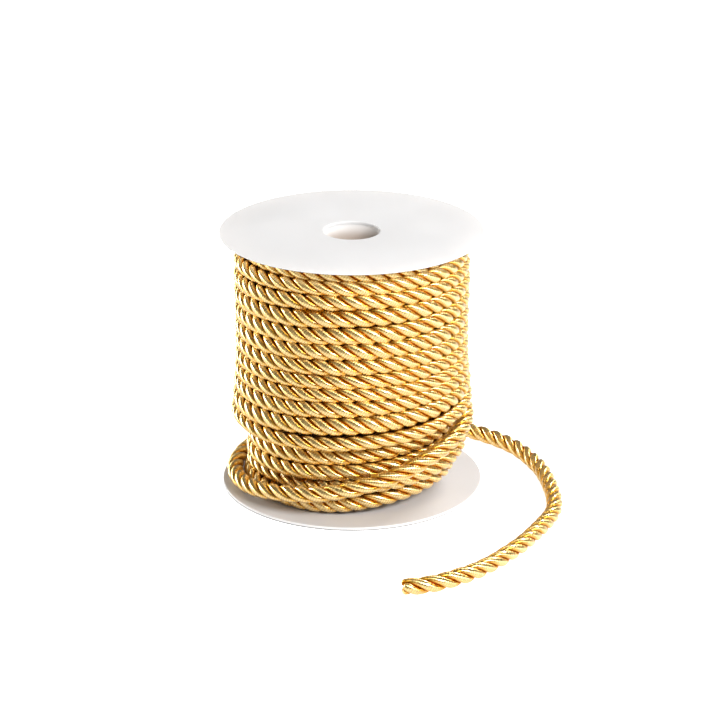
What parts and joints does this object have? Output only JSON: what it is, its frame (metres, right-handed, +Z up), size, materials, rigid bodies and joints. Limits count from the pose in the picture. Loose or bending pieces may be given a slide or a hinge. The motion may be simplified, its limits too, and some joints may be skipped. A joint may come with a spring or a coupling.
{
  "type": "twisted metallic cord on a plastic spool",
  "caption": "Twisted metallic-look cord wound on a plain flanged plastic spool, with a slack last turn low on the winding and a loose end lying on the table.",
  "frame": {"origin": "centre of the lower flange's underside, on the surface that the spool stands on", "axes": "+Z up along the spool's axis, -Y towards the viewer, +X to the side that the loose end lies on"},
  "size_m": [0.1013, 0.1232, 0.079],
  "materials": {
    "spool_plastic": "milky white thin moulded plastic, satin",
    "gold_cord": "satin-wrapped plies with a metallic gold sheen, laid up right-handed"
  },
  "bodies": {
    "root": {"bottom_flange": "spool_plastic", "hub_tube": "spool_plastic", "top_flange": "spool_plastic", "wound_cord": "gold_cord", "loose_cord": "gold_cord"}
  },
  "joints": []
}
